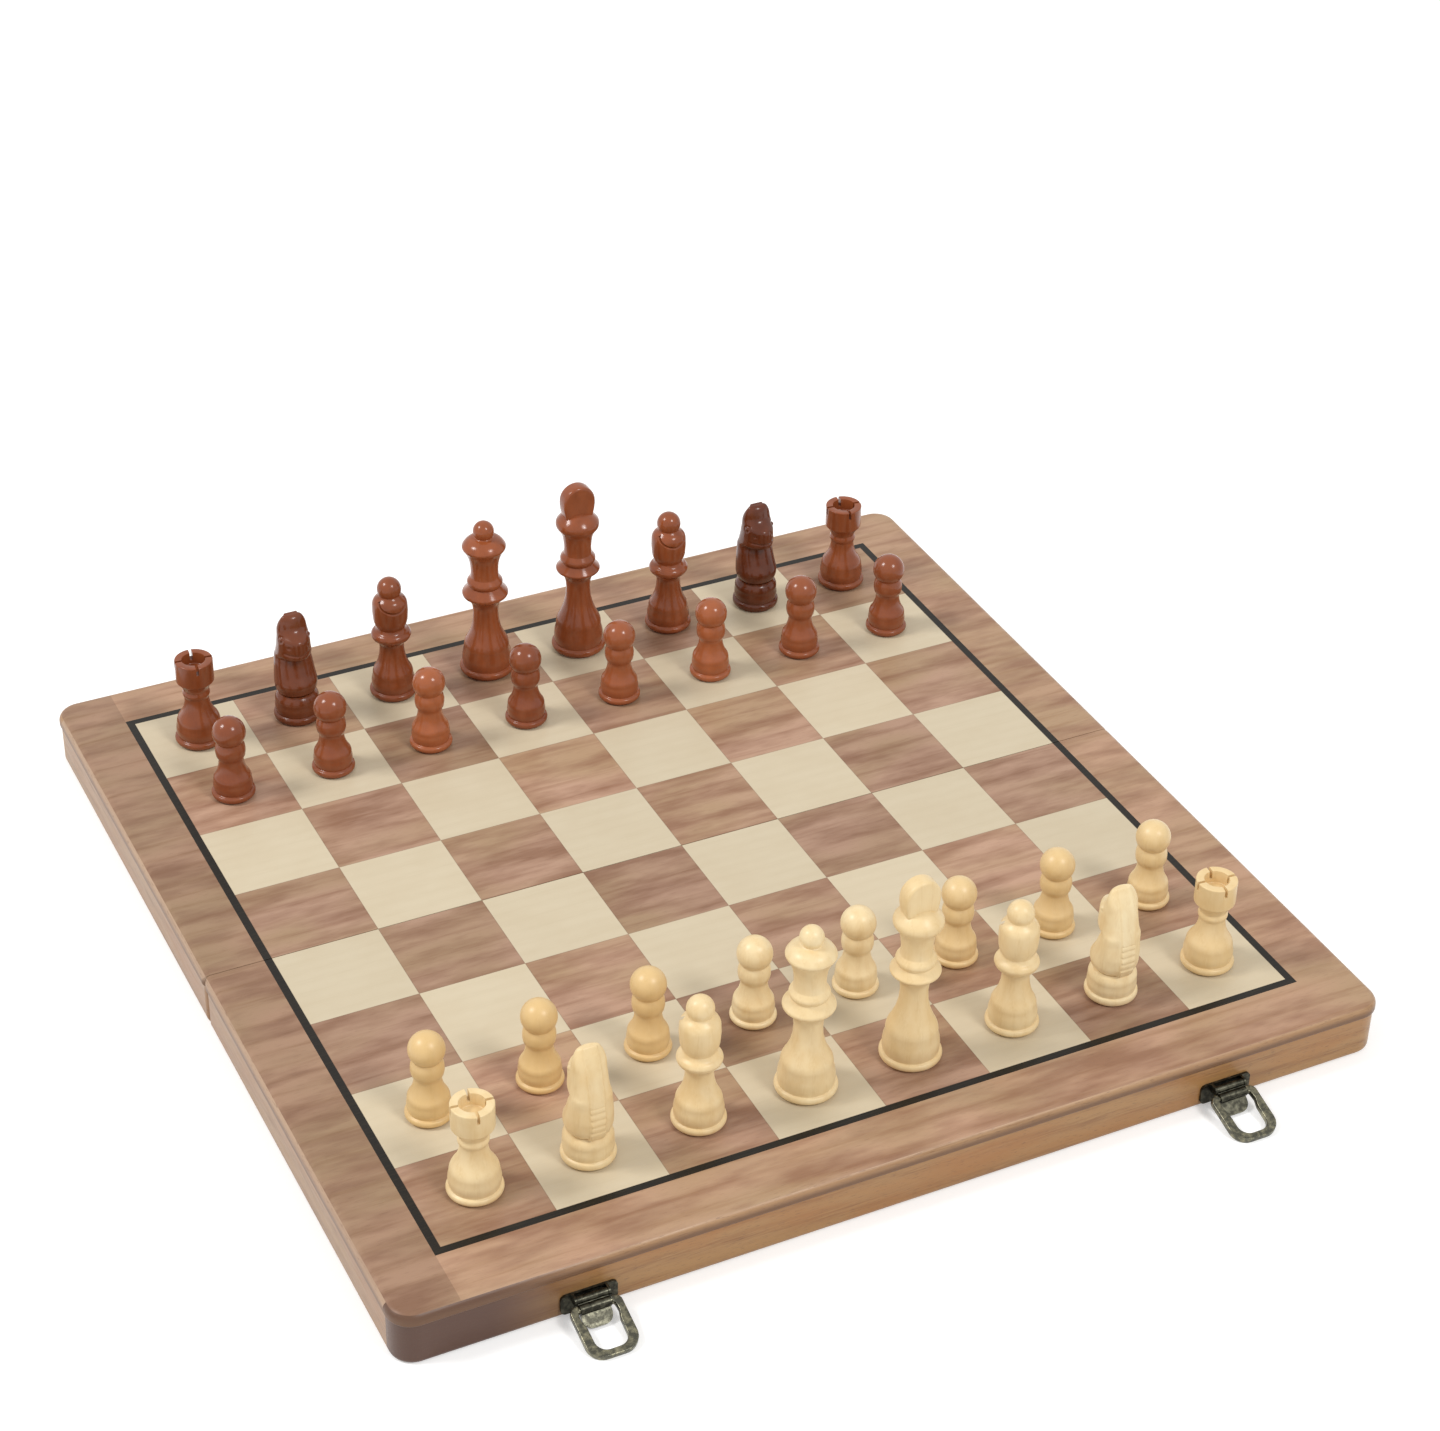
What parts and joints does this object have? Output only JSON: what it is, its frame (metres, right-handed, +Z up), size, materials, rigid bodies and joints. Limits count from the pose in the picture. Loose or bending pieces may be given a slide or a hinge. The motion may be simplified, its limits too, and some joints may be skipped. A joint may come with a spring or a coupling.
{
  "type": "magnetic folding chess set",
  "caption": "Wooden folding chess board with walnut and maple squares, side rails, draw latches and hinges underneath, set up with turned and carved magnetic men.",
  "frame": {"origin": "on the fold line at mid width, in the plane of the rails' undersides", "axes": "+Z up from the table through the board, +X along the fold from file a to file h, +Y from the latch edge with the white men to the edge with the black men"},
  "size_m": [0.38, 0.4075, 0.1004],
  "materials": {
    "panel_board": "stained board edge, satin",
    "steel_sheet": "plain rolled",
    "border_veneer": "walnut veneer, satin varnish",
    "inlay_line": "black dyed veneer, satin varnish",
    "walnut_squares": "walnut veneer, satin varnish",
    "maple_squares": "maple veneer, satin varnish",
    "rails": "solid hardwood, satin varnish",
    "felt": "pressed wool felt",
    "fasteners": "antiqued",
    "bronze_fittings": "dark bronze plating",
    "pale_wood": "turned, satin varnish",
    "red_brown_wood": "turned, stained and gloss lacquered"
  },
  "bodies": {
    "back_half": {"back_panel_core": "panel_board", "back_steel_sheet": "steel_sheet", "back_border_veneer": "border_veneer", "back_inlay_line": "inlay_line", "back_walnut_squares": "walnut_squares", "back_maple_squares": "maple_squares", "back_rails": "rails", "back_felt_lining": "felt", "back_screws": "fasteners", "hinge_leaves_back": "bronze_fittings", "hinge_pins": "bronze_fittings", "catch_plates": "bronze_fittings"},
    "front_half": {"front_panel_core": "panel_board", "front_steel_sheet": "steel_sheet", "front_border_veneer": "border_veneer", "front_inlay_line": "inlay_line", "front_walnut_squares": "walnut_squares", "front_maple_squares": "maple_squares", "front_rails": "rails", "front_felt_lining": "felt", "front_screws": "fasteners", "hinge_leaves_front": "bronze_fittings", "latch_plates": "bronze_fittings", "latch_pivot_pins": "bronze_fittings"},
    "latch_lever_left": {"latch_lever_left": "bronze_fittings"},
    "latch_loop_left": {"latch_loop_left": "bronze_fittings"},
    "latch_lever_right": {"latch_lever_right": "bronze_fittings"},
    "latch_loop_right": {"latch_loop_right": "bronze_fittings"},
    "white_rook_a": {"white_rook_a": "pale_wood"},
    "white_knight_b": {"white_knight_b": "pale_wood"},
    "white_bishop_c": {"white_bishop_c": "pale_wood"},
    "white_queen": {"white_queen": "pale_wood"},
    "white_king": {"white_king": "pale_wood"},
    "white_bishop_f": {"white_bishop_f": "pale_wood"},
    "white_knight_g": {"white_knight_g": "pale_wood"},
    "white_rook_h": {"white_rook_h": "pale_wood"},
    "white_pawn_a": {"white_pawn_a": "pale_wood"},
    "white_pawn_b": {"white_pawn_b": "pale_wood"},
    "white_pawn_c": {"white_pawn_c": "pale_wood"},
    "white_pawn_d": {"white_pawn_d": "pale_wood"},
    "white_pawn_e": {"white_pawn_e": "pale_wood"},
    "white_pawn_f": {"white_pawn_f": "pale_wood"},
    "white_pawn_g": {"white_pawn_g": "pale_wood"},
    "white_pawn_h": {"white_pawn_h": "pale_wood"},
    "black_rook_a": {"black_rook_a": "red_brown_wood"},
    "black_knight_b": {"black_knight_b": "red_brown_wood"},
    "black_bishop_c": {"black_bishop_c": "red_brown_wood"},
    "black_queen": {"black_queen": "red_brown_wood"},
    "black_king": {"black_king": "red_brown_wood"},
    "black_bishop_f": {"black_bishop_f": "red_brown_wood"},
    "black_knight_g": {"black_knight_g": "red_brown_wood"},
    "black_rook_h": {"black_rook_h": "red_brown_wood"},
    "black_pawn_a": {"black_pawn_a": "red_brown_wood"},
    "black_pawn_b": {"black_pawn_b": "red_brown_wood"},
    "black_pawn_c": {"black_pawn_c": "red_brown_wood"},
    "black_pawn_d": {"black_pawn_d": "red_brown_wood"},
    "black_pawn_e": {"black_pawn_e": "red_brown_wood"},
    "black_pawn_f": {"black_pawn_f": "red_brown_wood"},
    "black_pawn_g": {"black_pawn_g": "red_brown_wood"},
    "black_pawn_h": {"black_pawn_h": "red_brown_wood"}
  },
  "joints": [
    {"name": "fold", "type": "hinge", "parent": "back_half", "child": "front_half", "pos_m": [0, 0, -0.0001], "axis": [1, 0, 0], "range_deg": [0, 180]},
    {"name": "latch_lever_left_turn", "type": "hinge", "parent": "front_half", "child": "latch_lever_left", "pos_m": [-0.123, -0.1921, 0.0082], "axis": [-1, 0, 0], "range_deg": [0, 137]},
    {"name": "latch_loop_left_swing", "type": "hinge", "parent": "latch_lever_left", "child": "latch_loop_left", "pos_m": [-0.123, -0.19455, 0.00614], "axis": [1, 0, 0], "range_deg": [0, 210.9]},
    {"name": "latch_lever_right_turn", "type": "hinge", "parent": "front_half", "child": "latch_lever_right", "pos_m": [0.123, -0.1921, 0.0082], "axis": [-1, 0, 0], "range_deg": [0, 137]},
    {"name": "latch_loop_right_swing", "type": "hinge", "parent": "latch_lever_right", "child": "latch_loop_right", "pos_m": [0.123, -0.19455, 0.00614], "axis": [1, 0, 0], "range_deg": [0, 210.9]},
    {"name": "lift_white_rook_a", "type": "slide", "parent": "front_half", "child": "white_rook_a", "axis": [0, 0, 1], "range_m": [0, 0.09]},
    {"name": "lift_white_knight_b", "type": "slide", "parent": "front_half", "child": "white_knight_b", "axis": [0, 0, 1], "range_m": [0, 0.09]},
    {"name": "lift_white_bishop_c", "type": "slide", "parent": "front_half", "child": "white_bishop_c", "axis": [0, 0, 1], "range_m": [0, 0.09]},
    {"name": "lift_white_queen", "type": "slide", "parent": "front_half", "child": "white_queen", "axis": [0, 0, 1], "range_m": [0, 0.09]},
    {"name": "lift_white_king", "type": "slide", "parent": "front_half", "child": "white_king", "axis": [0, 0, 1], "range_m": [0, 0.09]},
    {"name": "lift_white_bishop_f", "type": "slide", "parent": "front_half", "child": "white_bishop_f", "axis": [0, 0, 1], "range_m": [0, 0.09]},
    {"name": "lift_white_knight_g", "type": "slide", "parent": "front_half", "child": "white_knight_g", "axis": [0, 0, 1], "range_m": [0, 0.09]},
    {"name": "lift_white_rook_h", "type": "slide", "parent": "front_half", "child": "white_rook_h", "axis": [0, 0, 1], "range_m": [0, 0.09]},
    {"name": "lift_white_pawn_a", "type": "slide", "parent": "front_half", "child": "white_pawn_a", "axis": [0, 0, 1], "range_m": [0, 0.09]},
    {"name": "lift_white_pawn_b", "type": "slide", "parent": "front_half", "child": "white_pawn_b", "axis": [0, 0, 1], "range_m": [0, 0.09]},
    {"name": "lift_white_pawn_c", "type": "slide", "parent": "front_half", "child": "white_pawn_c", "axis": [0, 0, 1], "range_m": [0, 0.09]},
    {"name": "lift_white_pawn_d", "type": "slide", "parent": "front_half", "child": "white_pawn_d", "axis": [0, 0, 1], "range_m": [0, 0.09]},
    {"name": "lift_white_pawn_e", "type": "slide", "parent": "front_half", "child": "white_pawn_e", "axis": [0, 0, 1], "range_m": [0, 0.09]},
    {"name": "lift_white_pawn_f", "type": "slide", "parent": "front_half", "child": "white_pawn_f", "axis": [0, 0, 1], "range_m": [0, 0.09]},
    {"name": "lift_white_pawn_g", "type": "slide", "parent": "front_half", "child": "white_pawn_g", "axis": [0, 0, 1], "range_m": [0, 0.09]},
    {"name": "lift_white_pawn_h", "type": "slide", "parent": "front_half", "child": "white_pawn_h", "axis": [0, 0, 1], "range_m": [0, 0.09]},
    {"name": "lift_black_rook_a", "type": "slide", "parent": "back_half", "child": "black_rook_a", "axis": [0, 0, 1], "range_m": [0, 0.09]},
    {"name": "lift_black_knight_b", "type": "slide", "parent": "back_half", "child": "black_knight_b", "axis": [0, 0, 1], "range_m": [0, 0.09]},
    {"name": "lift_black_bishop_c", "type": "slide", "parent": "back_half", "child": "black_bishop_c", "axis": [0, 0, 1], "range_m": [0, 0.09]},
    {"name": "lift_black_queen", "type": "slide", "parent": "back_half", "child": "black_queen", "axis": [0, 0, 1], "range_m": [0, 0.09]},
    {"name": "lift_black_king", "type": "slide", "parent": "back_half", "child": "black_king", "axis": [0, 0, 1], "range_m": [0, 0.09]},
    {"name": "lift_black_bishop_f", "type": "slide", "parent": "back_half", "child": "black_bishop_f", "axis": [0, 0, 1], "range_m": [0, 0.09]},
    {"name": "lift_black_knight_g", "type": "slide", "parent": "back_half", "child": "black_knight_g", "axis": [0, 0, 1], "range_m": [0, 0.09]},
    {"name": "lift_black_rook_h", "type": "slide", "parent": "back_half", "child": "black_rook_h", "axis": [0, 0, 1], "range_m": [0, 0.09]},
    {"name": "lift_black_pawn_a", "type": "slide", "parent": "back_half", "child": "black_pawn_a", "axis": [0, 0, 1], "range_m": [0, 0.09]},
    {"name": "lift_black_pawn_b", "type": "slide", "parent": "back_half", "child": "black_pawn_b", "axis": [0, 0, 1], "range_m": [0, 0.09]},
    {"name": "lift_black_pawn_c", "type": "slide", "parent": "back_half", "child": "black_pawn_c", "axis": [0, 0, 1], "range_m": [0, 0.09]},
    {"name": "lift_black_pawn_d", "type": "slide", "parent": "back_half", "child": "black_pawn_d", "axis": [0, 0, 1], "range_m": [0, 0.09]},
    {"name": "lift_black_pawn_e", "type": "slide", "parent": "back_half", "child": "black_pawn_e", "axis": [0, 0, 1], "range_m": [0, 0.09]},
    {"name": "lift_black_pawn_f", "type": "slide", "parent": "back_half", "child": "black_pawn_f", "axis": [0, 0, 1], "range_m": [0, 0.09]},
    {"name": "lift_black_pawn_g", "type": "slide", "parent": "back_half", "child": "black_pawn_g", "axis": [0, 0, 1], "range_m": [0, 0.09]},
    {"name": "lift_black_pawn_h", "type": "slide", "parent": "back_half", "child": "black_pawn_h", "axis": [0, 0, 1], "range_m": [0, 0.09]}
  ],
  "couplings": [
    {"joint": "latch_loop_left_swing", "follows": "latch_lever_left_turn", "ratio": 1.5393},
    {"joint": "latch_loop_right_swing", "follows": "latch_lever_right_turn", "ratio": 1.5393}
  ]
}
